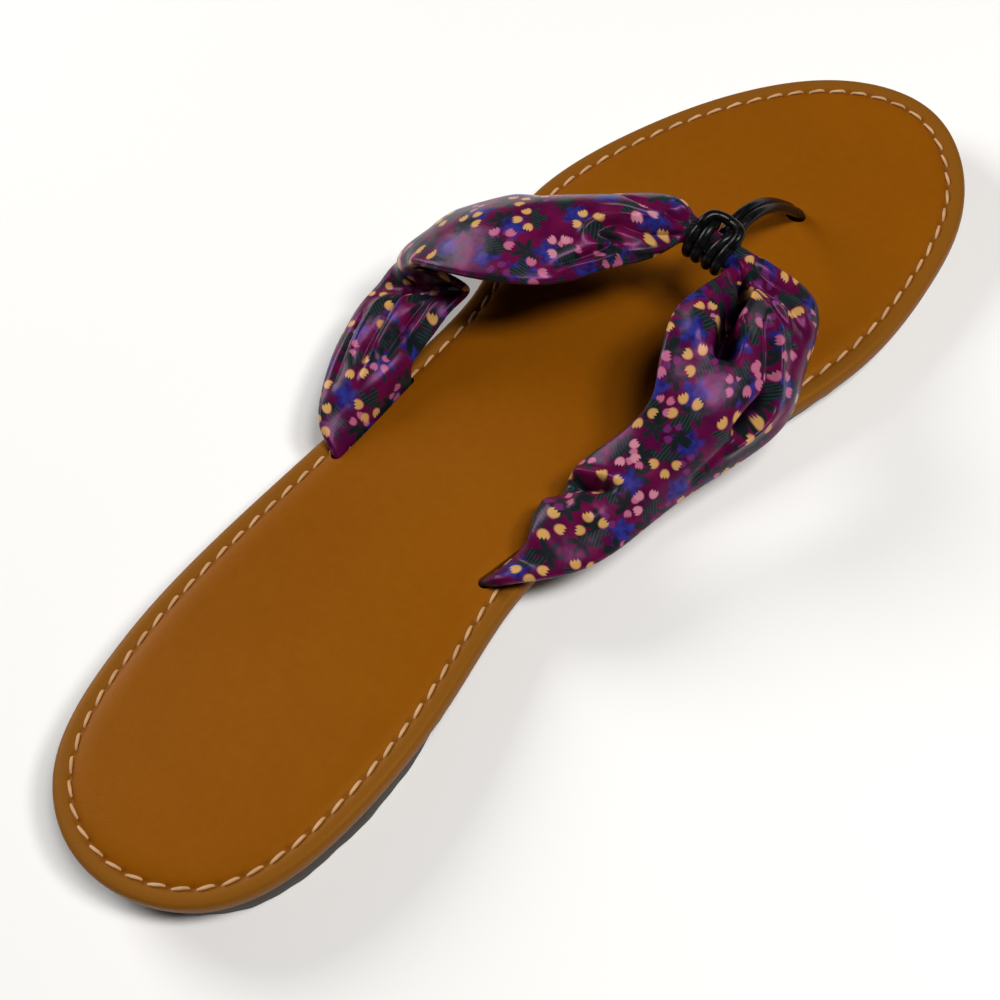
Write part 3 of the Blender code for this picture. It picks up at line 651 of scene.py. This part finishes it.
# Creases and folds: height in mm (less than 0 is a valley), half width, sharpness, lean in mm
# towards the toe-side edge, and the line's points as section numbers and as hundredths of the
# way from the heel-side edge.
FOLDS = (
    ("hitch valley", -2.4, 1.1, 1.6, 0, (8.8, 8.3, 7.8, 7.4), (36, 38, 41, 41)),
    ("pocket's slot", -5.5, 1.3, 2.6, 0, (8.2, 7.6, 7.2, 6.8), (44, 42, 39, 36)),
    ("pocket", -9, 2.3, 5, 0, (7.35, 6.85, 6.5, 6.2, 5.8), (38, 35.5, 33.5, 33, 33)),
    ("pocket's curl", 2.6, 1.2, 2.2, -2.4, (7.8, 7.27, 6.94, 6.72, 6.45, 6.1),
     (56, 54, 50, 46.5, 45, 47)),
    ("pocket's near lip", 1.7, 2.4, 2, 0.8, (8.1, 7.6, 7, 6.5, 5.9), (10, 8, 10, 12, 13)),
    ("crease", -2.4, 0.8, 1.6, 0, (6.8, 6.46, 6.23, 5.87, 5.6, 5.2), (54, 58, 62, 66, 69, 73)),
    ("crease's roll", 1.3, 1.2, 2, -1, (6.7, 6.2, 5.85, 5.5, 5.1), (66, 71, 74.5, 79, 84)),
    ("small pocket", -4.8, 1.9, 2.8, 0, (5.6, 5.34, 5.19, 5, 4.75), (71, 73, 70, 67, 68)),
    ("small pocket's lip", 1.2, 1.1, 2, -1.2, (5.35, 5, 4.75, 4.5), (87, 83, 80, 82)),
    ("small pocket's crease", -1.2, 0.9, 1.4, 0, (4.9, 4.6, 4.3, 4.1), (70, 74, 84, 93)),
    ("wrinkle 1", -1.3, 0.7, 1.6, 0, (8.6, 8.07, 7.61, 7.1, 6.8), (69, 74, 79, 91, 97)),
    ("wrinkle 2", -1.5, 0.8, 1.6, 0, (8.5, 7.9, 7.4, 7.04, 6.6, 6.3), (52, 56, 62, 72, 84, 90)),
    ("wrinkle 3", -1.2, 0.8, 1.6, 0, (7.5, 7.16, 6.75, 6.4, 6), (49, 57, 66, 77, 86)),
    ("ridge 1", 1, 0.8, 2, 0, (8.6, 8, 7.4, 6.9, 6.5), (60, 65, 71, 83, 92)),
    ("ridge 2", 0.9, 0.8, 2, 0, (7.4, 7, 6.6, 6.2), (55, 63, 73, 82)),
    ("outer roll", 0.9, 2.4, 2.2, 0, (7.2, 6.9, 6.4, 5.8, 5), (95, 96, 93, 90, 90)),
    ("cross valley", -4.2, 1.1, 1.8, 0, (2.4, 2.8, 3.1, 3.3, 3.5), (2, 14, 24, 36, 50)),
    ("cross ridge", 1.8, 1.3, 2, 0, (2.75, 3.05, 3.3, 3.55), (-2, 12, 26, 40)),
    ("base pouf", 3.2, 5.4, 2, 0, (2.5, 2.2, 1.95, 1.8, 1.62), (16, 22, 32, 46, 64)),
    ("base ridge", 1.1, 1.7, 2, 0, (2.75, 2.95, 3.05, 3.2), (30, 46, 58, 75)),
    ("border notch", -5, 1.4, 2.2, 0, (1.62, 1.76, 1.9, 2.1), (38, 49, 56, 62)),
    ("base crease", -1.3, 1, 1.5, 0, (1.4, 1.75, 2.1, 2.4), (62, 74, 84, 98)),
    ("tab ridge", 0.8, 1, 2, 0, (0.9, 1.4, 1.9), (95, 96, 99)),
    ("inner gather 1", 0.9, 0.8, 2, 0, (9.3, 8.6, 8, 7.5), (20, 17, 16, 14)),
    ("inner gather 2", -0.9, 0.6, 1.6, 0, (9.2, 8.6, 8.1, 7.6), (30, 27, 27, 25)),
    ("inner gather 3", 0.8, 0.7, 2, 0, (9.3, 8.6, 8.1, 7.7), (45, 46, 49, 51)),
    ("outer gather 1", 0.9, 1, 2, 0, (9.8, 10.6, 11.2, 11.8), (20, 16, 12, 6)),
    ("outer gather 2", -1.1, 0.7, 1.6, 0, (9.9, 10.7, 11.4, 12.2), (34, 32, 30, 34)),
    ("outer gather 3", 0.9, 0.8, 2, 0, (9.9, 10.8, 11.5, 12.4), (50, 50, 52, 50)),
    ("outer gather 4", -1.1, 0.7, 1.6, 0, (10, 10.8, 11.5, 12.2), (66, 68, 72, 80)),
    ("outer gather 5", 0.9, 0.9, 2, 0, (9.9, 10.8, 11.4), (84, 90, 95)),
    ("outer pleat", -2, 1, 1.6, 0, (13.3, 12.65, 12.1, 11.95, 12.2, 11.9, 11.5),
     (5, 7, 10, 16, 24, 36, 40)),
    ("outer pleat's roll", 1.6, 1, 2, 0.7, (13.2, 12.74, 12.2, 11.75, 11.5), (0, 3, 3, 8, 14)),
    ("outer pleat's edge", 1.2, 0.8, 2, 0, (11.4, 11.9, 12.36, 12.5, 12.4), (46, 43, 31, 22, 14)),
    ("outer ridge", 0.9, 1.3, 2, 0, (10.6, 11, 11.3, 11.2), (96, 80, 56, 28)),
    ("outer back", 1.2, 4, 2, 0, (13.4, 14, 14.6, 15.2), (70, 70, 68, 60)),
    ("ledge", 0.3, 1.2, 2, 0, (14.6, 15.3, 15.9, 16.2, 16.3, 16.35), (-2, 0, 2, 8, 20, 42)),
    ("ledge's hollow", -2, 1.2, 1.8, 0, (16.9, 17, 17.05, 17.1, 17.1), (-4, 12, 30, 50, 70)),
    ("tuck's rolled hem", 0.6, 2.2, 2, -1.7, (15.9, 16.3, 16.7, 17.1, 17.5), (0, 0, 0, 0, 0)),
    ("leg valley 1", -1.7, 0.9, 1.6, 0, (17.2, 17.8, 18.4, 19, 19.7), (26, 24, 24, 27, 30)),
    ("leg ridge 1", 1.2, 1, 2, 0.6, (17, 17.7, 18.4, 19.1), (10, 10, 11, 13)),
    ("leg ridge 2", 1.2, 1.1, 2, 0.6, (17.2, 17.9, 18.6, 19.4), (42, 40, 40, 44)),
    ("leg valley 2", -1.7, 0.9, 1.6, 0, (17.1, 17.8, 18.5, 19.2, 19.9), (60, 56, 55, 58, 62)),
    ("leg ridge 3", 1.1, 1.2, 2, -0.6, (17.1, 17.8, 18.5, 19.4), (78, 73, 72, 76)),
    ("leg valley 3", -1.1, 0.8, 1.6, 0, (17.6, 18.2, 19, 19.7), (90, 86, 86, 90)),
)


def along_rows(rows, place):
    """Rows joined by a Catmull-Rom curve, read at row numbers with fractions."""
    padded = np.vstack([2 * rows[0] - rows[1], rows, 2 * rows[-1] - rows[-2]])
    i = np.clip(np.floor(place).astype(int), 0, len(rows) - 2)
    t = (np.asarray(place, float) - i)[:, None]
    a, b, c, d = (padded[i + n] for n in range(4))
    return 0.5 * (2 * b + (c - a) * t + (2 * a - 5 * b + 4 * c - d) * t ** 2
                  + (3 * b - 3 * c + d - a) * t ** 3)


def unit(vectors):
    return vectors / np.maximum(norm(vectors, axis=-1, keepdims=True), 1e-9)


table = np.array([row[1:] for row in SCARF], float)
table[:, [2, 5]] += FOREPART_TOP
fine_place = np.linspace(0, len(SCARF) - 1, FINE_STEPS)
fine_rows = along_rows(table, fine_place)
fine_run = lengths_along((fine_rows[:, 0:3] + fine_rows[:, 3:6]) / 2)
place = np.interp(np.linspace(0, fine_run[-1], SCARF_STATIONS), fine_run, fine_place)
sections = along_rows(table, place)
heel_edge, toe_edge, (crown, wall) = sections[:, 0:3], sections[:, 3:6], sections[:, 6:].T
centre_line = (heel_edge + toe_edge) / 2
share = np.linspace(0, 1, SCARF_ACROSS)
share = EVEN_SHARE * share + (1 - EVEN_SHARE) * (1 - np.cos(math.pi * share)) / 2
chord = toe_edge - heel_edge
out = unit(np.cross(chord, np.gradient(centre_line, axis=0)))
middle = (heel_edge[:, None] + chord[:, None] * share[:, None]
          + out[:, None] * (crown[:, None] * 4 * share * (1 - share))[:, :, None])
chord_way, along_way = unit(np.gradient(middle, axis=1)), unit(np.gradient(middle, axis=0))
normal = unit(np.cross(chord_way, along_way))


def on_grid(values, places, shares):
    """values of the scarf's grid read at places and shares."""
    row = np.interp(places, place, np.arange(SCARF_STATIONS))
    column = np.interp(shares, share, np.arange(SCARF_ACROSS))
    i = np.minimum(row.astype(int), SCARF_STATIONS - 2)
    j = np.minimum(column.astype(int), SCARF_ACROSS - 2)
    f, g = (row - i)[:, None], (column - j)[:, None]
    return ((values[i, j] * (1 - g) + values[i, j + 1] * g) * (1 - f)
            + (values[i + 1, j] * (1 - g) + values[i + 1, j + 1] * g) * f)


raised, leaned = np.zeros(middle.shape[:2]), np.zeros(middle.shape[:2])
for _, height, width, power, lean, numbers, hundredths in FOLDS:
    line = np.column_stack([numbers, np.array(hundredths) / 100])
    bent = along_rows(line, np.linspace(0, len(line) - 1, TRACE_STEPS * len(line)))
    trace = on_grid(middle, *bent.T)
    run = lengths_along(trace) / lengths_along(trace)[-1]
    away = norm(middle[:, :, None] - trace, axis=3)
    bump = np.exp(-(away.min(2) / width) ** power) * within(run, *FOLD_ENDS)[away.argmin(2)]
    raised += height * bump
    leaned += lean * bump
run_along, run_across = lengths_along(middle[:, SCARF_ACROSS // 2]), share * WAVES_ACROSS
raised += (WAVES[0] * np.sin(run_along / 9.0)[:, None] * np.cos(run_across / 7.0 + 0.8)
           + WAVES[1] * np.sin(run_along / 5.2 + 1.0)[:, None] * np.sin(run_across / 5.0 + 2.0))
neck = within(place, *NECK)
raised *= (within(place, *FREE) * (1 - neck))[:, None]
for grid in (raised, leaned, raised, leaned):
    grid[1:-1] = (grid[:-2] + 2 * grid[1:-1] + grid[2:]) / 4
    grid[:, 1:-1] = (grid[:, :-2] + 2 * grid[:, 1:-1] + grid[:, 2:]) / 4

width = norm(chord, axis=1)
from_edge = np.minimum(share, 1 - share) * width[:, None]
thin, edge_wall = (wall * (plain + more * neck) for plain, more in (THICK_ACROSS, THICK_EDGE))
thick = thin[:, None] + (edge_wall - thin)[:, None] * np.exp(-(from_edge / EDGE_REACH) ** 2)
turns = np.linspace(0, math.pi, ROLL_STEPS + 2)[1:-1, None]
picked = np.linspace(0, SCARF_ACROSS - 1, UNDER_ACROSS).round().astype(int)


def closed_tube(sheet):
    """The cloth's whole surface round its middle sheet: upper face, roll, under face, roll."""
    outwards = normal * thick[:, :, None] / 2
    toe_roll, heel_roll = ((normal[:, edge] * np.cos(turns) + chord_way[:, edge] * np.sin(turns))
                           * thick[:, edge, None] / 2 for edge in (slice(-1, None), slice(0, 1)))
    return np.concatenate([sheet + outwards, sheet[:, -1:] + toe_roll,
                           (sheet - outwards)[:, picked[::-1]], sheet[:, :1] - heel_roll], axis=1)


def steadied(values):
    """The running mean of 17 values."""
    return np.convolve(np.pad(values, 8, "edge"), np.ones(17) / 17, "valid")


folded = middle + normal * raised[:, :, None] + chord_way * leaned[:, :, None]
tube, smooth_tube = closed_tube(folded), closed_tube(middle)
# The print lies flat on the cloth: the middle line is unrolled, and each section is laid out
# from it both ways round, to meet in the fold underneath.
centre_column = SCARF_ACROSS // 2
along = unit(np.gradient(smooth_tube[:, centre_column], axis=0))
crossing = chord_way[:, centre_column]
aside = unit(crossing - (crossing * along).sum(1)[:, None] * along)
turning = steadied(np.concatenate([[0], np.cumsum(((along[1:] - along[:-1]) * aside[:-1]).sum(1))]))
leaning = steadied(np.arctan2((crossing * aside).sum(1), (crossing * along).sum(1)) + turning)
spacing = norm(np.diff(centre_line, axis=0), axis=1)
laid = np.vstack([[0, 0], np.cumsum(spacing[:, None] * np.column_stack(
    [np.cos(turning[:-1]), np.sin(turning[:-1])]), axis=0)])
around = tube.shape[1]
order = (centre_column + np.arange(around + 1)) % around
gaps = norm(np.diff(smooth_tube[:, order], axis=1), axis=2)
gone = np.concatenate([np.zeros((SCARF_STATIONS, 1)), np.cumsum(gaps, axis=1)], axis=1)
fold_column = SCARF_ACROSS - centre_column + ROLL_STEPS + UNDER_ACROSS // 2
span = np.where(np.arange(around + 1) <= fold_column, gone, gone - gone[:, -1:])
reach = np.empty((SCARF_STATIONS, around))
reach[:, order[:-1]] = span[:, :-1]
reach_there = gone[:, fold_column] - gone[:, -1]   # the fold's column, seen from the heel side
heading = np.dstack([np.cos(leaning), np.sin(leaning)])[0]
flat = laid[:, None] + reach[:, :, None] * heading[:, None]
flat_fold = laid + reach_there[:, None] * heading

_, row, step = banded(tube)
uvs = flat[row, step % around]
past_fold = step[:, 0] == order[fold_column]
for corner in (0, 3):
    uvs[past_fold, corner] = flat_fold[row[past_fold, corner]]
uvs = np.vstack([uvs[:, ::-1].reshape(-1, 2) * 0.001, np.zeros((2 * around, 2))])
faces = [face[::-1] for face in capped(tube)]     # this tube's rows go round the other way

PLUM, PLUM_DEEP = (0.124, 0.0034, 0.042), (0.055, 0.0016, 0.030)
LEAF, LEAF_PALE = (0.0078, 0.0165, 0.0165), (0.028, 0.062, 0.056)
STEM, GOLD, PINK = (0.0065, 0.0130, 0.0135), (0.54, 0.30, 0.095), (0.43, 0.115, 0.21)
ROSE, MAUVE = (0.52, 0.20, 0.26), (0.12, 0.020, 0.11)
BLUE, BLUE_PALE = (0.013, 0.007, 0.085), (0.020, 0.028, 0.215)
# Painted shade: the near-black colour of deep fold hollows and of the cloth tucked under the lobe.
FOLD_PAINTED_SHADE = (0.0030, 0.0006, 0.0040)      # the cloth deep inside a fold
# The motifs of the print: square, turn, seed, jitter.
SMALL_SPRAYS, BLOSSOMS = (7.2, 0.9, 5, 0.35), (9.4, 0.35, 2, 0.3)
SMALL_SPRIGS, LARGE_SPRIGS = (7.1, -0.55, 9, 0.22), (9.2, 0.15, 1, 0.12)
MOTIF_TURN, WEAVE_PITCH = 6.28, 0.32     # radians over which motifs turn at random

satin, start, where = finish("printed_satin", {
    "IOR": 1.3, "Specular IOR Level": 0.54, "Specular Tint": (0.88, 0.36, 0.80, 1)})
cloth_uv = start.node("VectorMath", {"operation": "SCALE"},
                      {0: start.node("UVMap", {"uv_map": "UVMap"}), "Scale": 1000.0})


def scattered(cell, turn, seed, jitter):
    """Places for a motif, one in each square of the cloth: x and y in mm from the motif's
    own middle, turned at random, and two random numbers."""
    turned = start.node("VectorRotate", {"rotation_type": "Z_AXIS"}, {0: cloth_uv, "Angle": turn})
    moved = start.node("VectorMath", {"operation": "MULTIPLY_ADD"},
                       {0: turned, 1: (1 / cell, 1 / cell, 0), 2: (seed * 7.31, seed * 3.77, 0)})
    square = start.node("VectorMath", {"operation": "FLOOR"}, {0: moved})
    inside = start.node("VectorMath", {"operation": "FRACTION"}, {0: moved})
    chance = start.node("TexWhiteNoise", {"noise_dimensions": "3D"}, {0: square}, out=1).parts()
    x, y = ((place - 0.5 - jitter * (shift - 0.5)) * cell
            for place, shift in zip(inside.parts()[:2], chance))
    angle = MOTIF_TURN * (chance[2] - 0.5)
    c, s = angle.cosine(), angle.sine()
    return x * c + y * s, y * c - x * s, chance[0], chance[1]


def polar(x, y):
    return start.maths("SQRT", x * x + y * y), start.maths("ARCTAN2", x, y)


def beside_ray(radius, angle):
    """How far a place lies to the side of a ray and along it, angle being from the ray."""
    return radius * angle.sine(), radius * angle.cosine()


def oval(x, y, half_x, half_y):
    """1 inside an oval and 0 outside, with a soft edge."""
    return (x * x * (1 / half_x ** 2) + y * y * (1 / half_y ** 2)).between(1.35, 0.65)


def bud(x, y, size):
    """A flower bud that opens upwards, with three blunt points along its top."""
    body = oval(x, y, 1.4 * size, 1.7 * size)
    points = (x + 2.25 * size).to_and_fro(0.45 * size) - 0.1 * size
    return body * (y - points * 1.5 - 0.55 * size).between(0.2, -0.1)


def sprig(x, y, spread, reach, size):
    """Three buds on stems over a spray of leaves: masks for buds, leaves, pale veins."""
    radius, angle = polar(x, y)
    arm = start.maths("MAXIMUM", start.maths("ROUND", angle / spread), -1.0)
    arm = start.maths("MINIMUM", arm, 1.0)
    side, far = beside_ray(radius, angle - arm * spread)
    past = far - (reach + 0.5 * (1 - abs(arm)))
    stems = abs(side).between(0.24, 0.10) * far.between(-0.2, 0.3) * past.between(0.0, -0.4)
    leaf_side, leaf_far = beside_ray(radius, angle.to_and_fro(0.5))
    leaves = oval(leaf_side, leaf_far - 1.65, 0.66, 1.6) * abs(angle).between(1.35, 1.55)
    veins = leaves * abs((x * 1.2 + y * 0.9).fraction() - 0.5).between(0.24, 0.04)
    return bud(side, past, size), start.maths("MAXIMUM", stems, leaves), veins


def blossom(x, y, size):
    """A soft flower with five petals, and its paler heart."""
    radius, angle = polar(x, y)
    rim = size * (0.82 + 0.18 * (angle * 5.0).cosine())
    rim += 2.2 * (noise(start, cloth_uv, 0.45, 2.0) - 0.5)
    return (radius - rim).between(0.7, -0.7), (radius - rim * 0.45).between(0.6, -0.6)


weave_tone = noise(start, cloth_uv, 0.16, 3.0)
colour = weave_tone.between(0.35, 0.7).mixed(PLUM_DEEP, PLUM)
x, y, chance_x, _ = scattered(*SMALL_SPRAYS)
radius, angle = polar(x, y)
leaf_side, leaf_far = beside_ray(radius, angle.to_and_fro(0.52))
spray = oval(leaf_side, leaf_far - 1.6, 0.55, 1.5)
colour = (spray * chance_x.between(0.45, 0.46)).mixed(colour, LEAF)
x, y, _, chance_y = scattered(*BLOSSOMS)
petals, heart = blossom(x, y, 3.0)
petals_there = petals * chance_y.between(0.15, 0.16)
cloudy = noise(start, cloth_uv, 0.75, 2.0)
colour = petals_there.mixed(colour, cloudy.between(0.35, 0.65).mixed(BLUE, BLUE_PALE))
colour = (petals_there * heart * cloudy).mixed(colour, BLUE_PALE)
x, y, chance_x, chance_y = scattered(*SMALL_SPRIGS)
heads, leaves, _ = sprig(x, y, 1.05, 2.0, 0.56)
shown = chance_x.between(0.36, 0.37)
colour = (leaves * shown).mixed(colour, STEM)
colour = (heads * shown).mixed(colour, chance_y.stepped((0.0, MAUVE), (0.55, PINK)))
x, y, chance_x, chance_y = scattered(*LARGE_SPRIGS)
heads, leaves, veins = sprig(x, y, 1.15, 2.7, 0.70)
colour = (0.6 * veins).mixed(leaves.mixed(colour, LEAF), LEAF_PALE)
colour = (heads * chance_x.between(0.10, 0.11)).mixed(
    colour, chance_y.stepped((0.0, GOLD), (0.44, PINK), (0.70, ROSE), (0.86, GOLD)))
# The hollow attribute mixes in painted shade.
hollow = start.node("Attribute", {"attribute_name": "hollow"}, out=2)
colour = hollow.mixed(colour, FOLD_PAINTED_SHADE)
crinkle = noise(start, where, 210.0, 1.7, 0.45)
cloth_x, cloth_y, _ = cloth_uv.parts()
weave = ((cloth_x + cloth_y) * (math.tau / WEAVE_PITCH)).sine() * 0.5 + 0.5
drive(satin, Base_Color=colour, Roughness=0.25 + 0.10 * weave_tone,
      Normal=(weave * 0.02 + crinkle).bumps(0.00055, 0.55))

scarf = make_piece("satin_scarf", tube.reshape(-1, 3), faces, satin, uvs)
# Painted shade, kept in the mesh's hollow attribute: deep fold hollows, and the tucked cloth under the
# lobe, go nearly black.
shade = np.zeros((SCARF_STATIONS, around))
tucked = TUCK_SHADE * within(place, *TUCK)[:, None] * (1 - smoothstep(share, *TUCK_SHARE))
shade[:, :SCARF_ACROSS] = np.maximum(HOLLOW_SHADE * smoothstep(-raised, *HOLLOW_DEPTH), tucked)
scarf.data.attributes.new("hollow", "FLOAT", "POINT").data.foreach_set("value", shade.ravel())
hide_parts("scarf_strap")
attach(scarf, "root")

# ---- toe cord ----------
# One length of round black waxed cord, doubled. Its ends rise from the hole as the toe
# post, pass under the gathered scarf and go round it, and the loop closes over the post.
CORD_DIAMETER, CORD_PITCH = 2.2, 2.32
POST_ROUTE = (            # x, y, height above the footbed under the ball
    (0.6, 204.6, -3.4), (0.6, 204.4, 1.2), (1.1, 199.6, 8.2), (1.5, 194.8, 13.8),
    (1.9, 190.0, 17.8), (2.2, 185.8, 19.8), (2.3, 182.2, 20.0), (2.3, 179.6, 19.2),
)
KNOT_CENTRE = (2.5, 174.9, 20.8)
WRAP_RADII, WRAP_TILT = (4.15, 3.25), math.radians(41.0)
WRAP_FROM, WRAP_TO, WRAP_STEP = -85.0, -660.0, 23.0
WRAP_SPREAD = (           # turns, pitches along
    (0.0, 0.0), (0.5, 0.2), (1.0, 1.0), (1.5, 1.22), (1.6, 1.25),
)
KNOT_LEAN = 0.20
LOOP = ((4.3, 1.0, 4.6), (3.7, 2.9, 4.9), (2.1, 4.2, 4.2), (0.0, 4.7, 3.6))
CORD_SIDES, CORD_STEPS, PLAIT_PITCH, PLAIT_TURNS = 20, 9, 0.0016, 3
CORD_BLACK, CORD_WORN = (0.0030, 0.0028, 0.0033), (0.008, 0.0074, 0.0088)


def about_knot(offsets):
    """Offsets from the middle of the knot, leaned towards the big toe as they rise."""
    return offsets + np.outer(KNOT_LEAN * offsets[:, 2], [1, 0, 0]) + KNOT_CENTRE


def strand(side):
    """One strand's points, from the hole to the end of its turns; side is 1 or -1."""
    route = np.array(POST_ROUTE) + [side * CORD_PITCH / 2, 0, 0]
    long_way = np.array([0, math.cos(WRAP_TILT), math.sin(WRAP_TILT)])
    short_way = np.array([0, -math.sin(WRAP_TILT), math.cos(WRAP_TILT)])
    angles = np.arange(WRAP_FROM, WRAP_TO - 1, -WRAP_STEP)
    spread = np.interp((WRAP_FROM - angles) / 360, *np.array(WRAP_SPREAD).T)
    turns = (np.outer(side * CORD_PITCH * (0.5 + spread), [1, 0, 0])
             + np.outer(WRAP_RADII[0] * np.cos(np.radians(angles)), long_way)
             + np.outer(WRAP_RADII[1] * np.sin(np.radians(angles)), short_way))
    return np.vstack([route, about_knot(turns)])


half = np.array(LOOP)
loop = about_knot(np.vstack([half, half[-2::-1] * [-1, 1, 1]]))
knots = np.vstack([strand(1.0), loop, strand(-1.0)[::-1]])
knots[:, 2] += FOREPART_TOP
route = along_rows(knots, np.linspace(0, len(knots) - 1, CORD_STEPS * (len(knots) - 1) + 1))
way = unit(np.gradient(route, axis=0))
side = np.array([1.0, 0.0, 0.0])
rows = []
for centre, forwards in zip(route, way):
    side = side - forwards * side.dot(forwards)
    side /= norm(side)
    rows.append(centre + CORD_DIAMETER / 2 * circle(CORD_SIDES) @ [side, np.cross(forwards, side)])
_, row, step = banded(rows)
uvs = np.dstack([lengths_along(route)[row] * 0.001, step / CORD_SIDES]).reshape(-1, 2)
uvs = np.vstack([uvs, np.zeros((2 * CORD_SIDES, 2))])

waxed, start, where = finish("black_waxed_cord", {"IOR": 1.35, "Specular IOR Level": 0.30})
length_way, round_way, _ = start.node("UVMap", {"uv_map": "UVMap"}).parts()
scuff = noise(start, where, 700.0, 3.0)
along, around = length_way * (math.tau / PLAIT_PITCH), round_way * (math.tau * PLAIT_TURNS)
plait = (along + around).sine() * (along - around).sine()
drive(waxed, Base_Color=scuff.between(0.45, 0.75).mixed(CORD_BLACK, CORD_WORN),
      Roughness=0.20 + 0.16 * scuff, Normal=(plait * 0.5 + 0.5).bumps(0.00003, 0.4))
cord = make_piece("toe_cord_lace", np.vstack(rows), capped(rows), waxed, uvs)
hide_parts("toe_cord")
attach(cord, "root")
